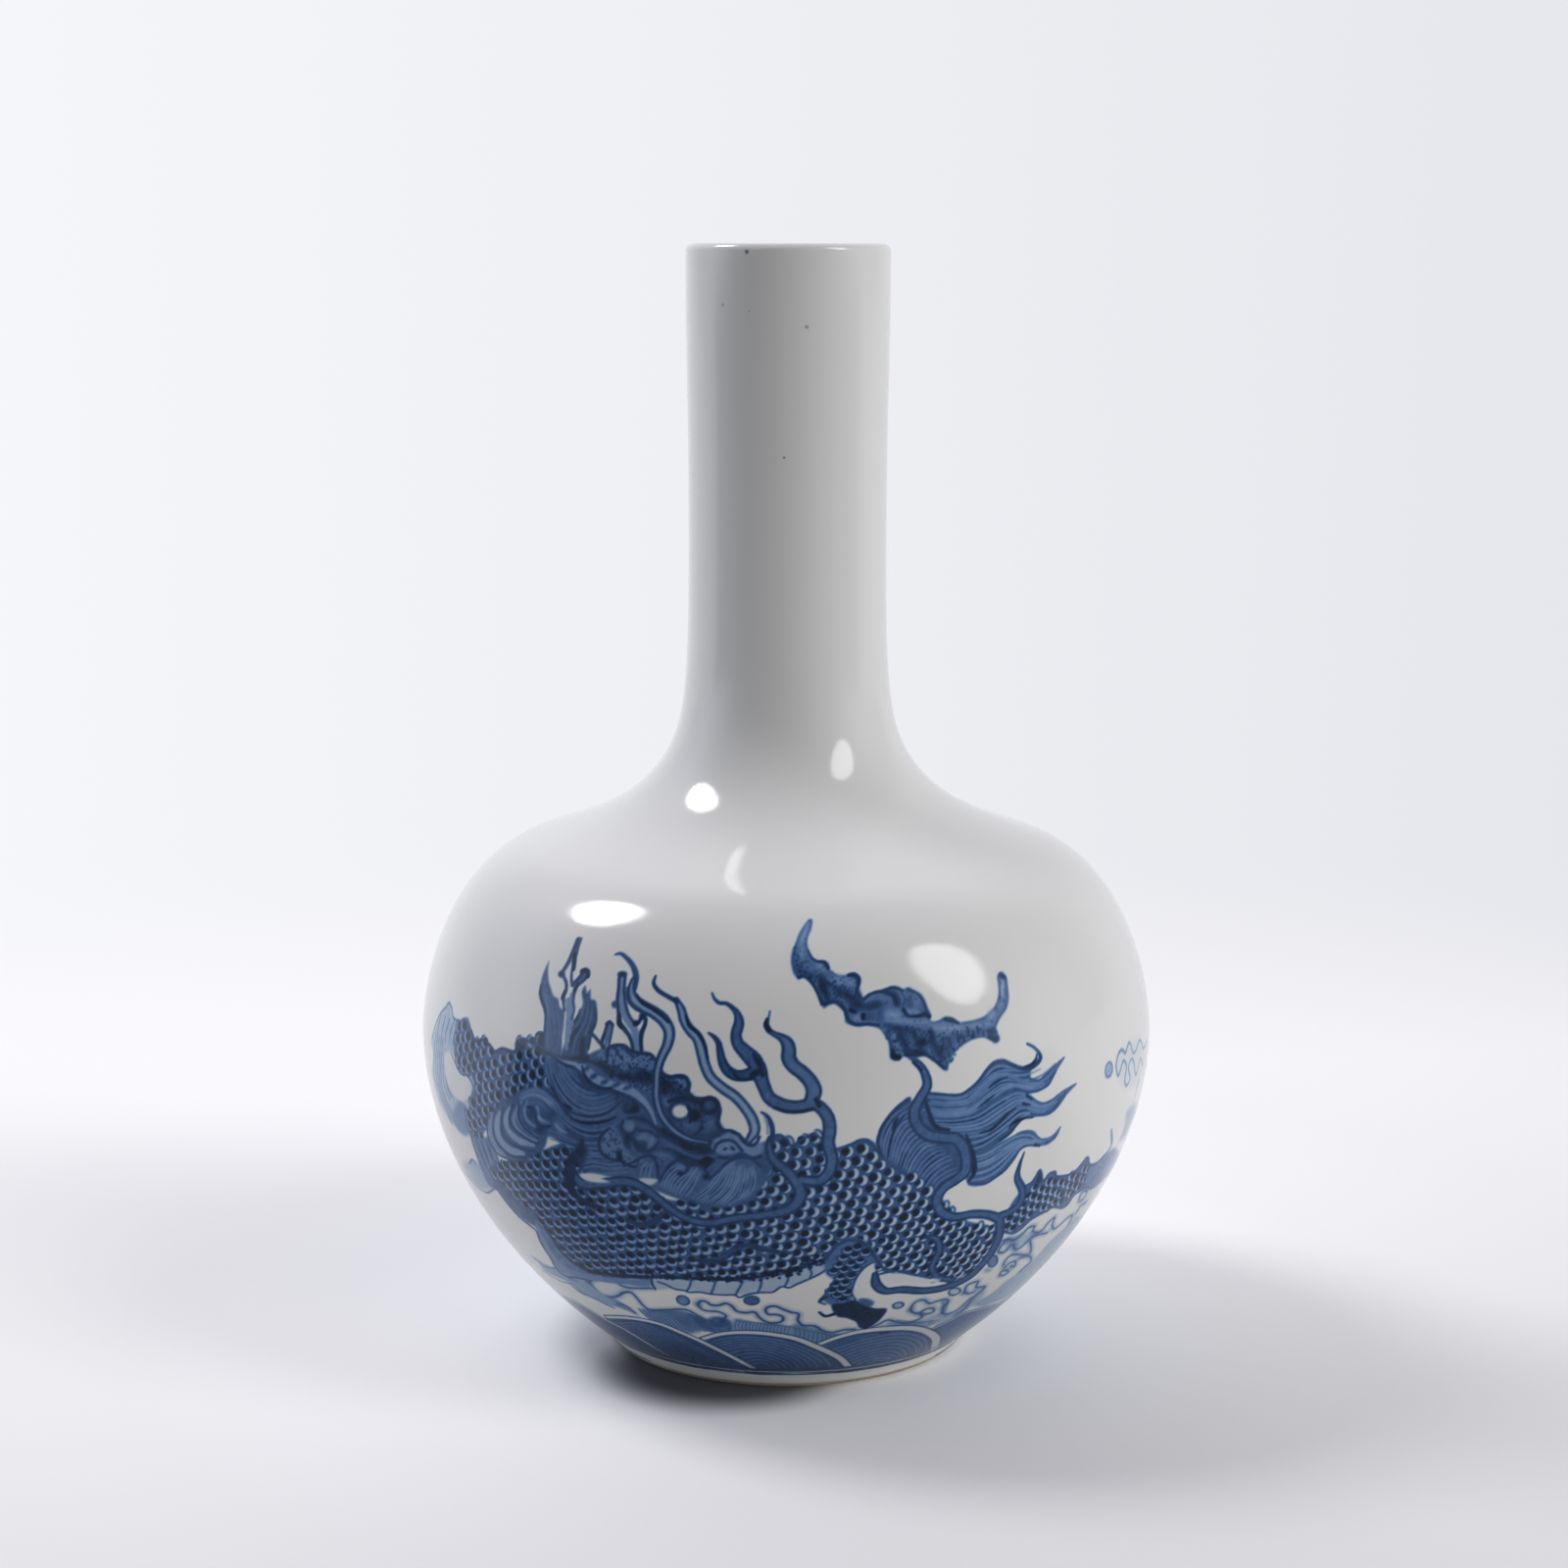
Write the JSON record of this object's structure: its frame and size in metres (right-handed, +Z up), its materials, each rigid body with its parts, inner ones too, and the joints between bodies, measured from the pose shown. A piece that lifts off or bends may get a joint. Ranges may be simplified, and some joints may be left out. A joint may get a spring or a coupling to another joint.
{
  "type": "long-neck vase",
  "caption": "Globular porcelain vase with a tall cylindrical neck, a rounded lip and a turned foot ring, painted in blue under a clear glaze.",
  "frame": {"origin": "middle of the foot ring's ground plane", "axes": "+Z up along the vase's axis; the painted side that the picture shows faces -Y"},
  "size_m": [0.22, 0.22, 0.33],
  "materials": {
    "porcelain": "matt",
    "luting_slip": "matt",
    "painted_glaze": "gloss",
    "plain_glaze": "gloss"
  },
  "bodies": {
    "root": {"lower_body": "porcelain", "upper_body": "porcelain", "neck": "porcelain", "waist_luting_slip": "luting_slip", "neck_luting_slip": "luting_slip", "outer_glaze": "painted_glaze", "inner_glaze": "plain_glaze", "foot_well_glaze": "plain_glaze"}
  },
  "joints": []
}
